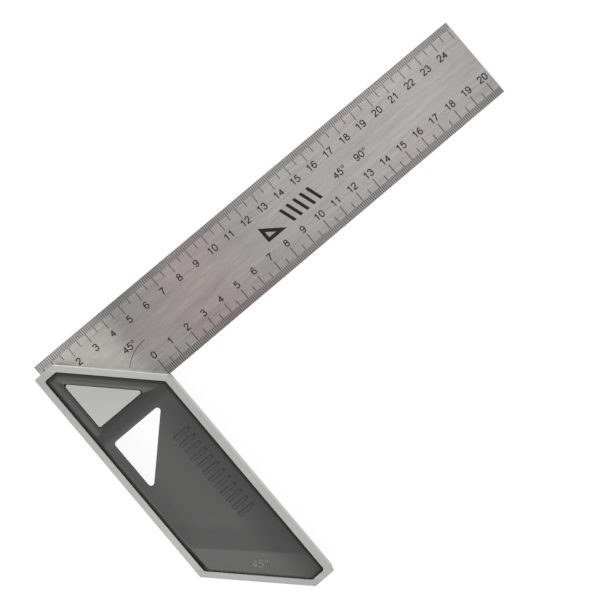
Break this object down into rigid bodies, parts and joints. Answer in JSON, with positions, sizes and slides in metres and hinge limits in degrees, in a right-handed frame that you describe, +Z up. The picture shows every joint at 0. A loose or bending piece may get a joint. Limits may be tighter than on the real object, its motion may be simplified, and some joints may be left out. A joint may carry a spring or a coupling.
{
  "type": "try square",
  "caption": "Try square: thin graduated steel blade riveted at a right angle into a cast stock with 45 degree ends, plastic inserts and a triangular hanging hole.",
  "frame": {"origin": "the inner corner, where the stock's inner working face meets the blade's lower edge, on the plane that the stock's rear face rests on", "axes": "+X along the blade towards its free end, +Y across the blade away from the stock, +Z up through the thickness, out of the front face"},
  "size_m": [0.252, 0.1588, 0.019],
  "materials": {
    "blade_steel": "brushed lengthwise, satin, with dark etched graduations",
    "cast_aluminium": "fine ground satin",
    "insert_plastic": "moulded, satin",
    "rivet_steel": "plain"
  },
  "bodies": {
    "root": {"blade": "blade_steel", "stock_frame": "cast_aluminium", "front_insert": "insert_plastic", "rear_insert": "insert_plastic", "blade_rivets": "rivet_steel"}
  },
  "joints": []
}
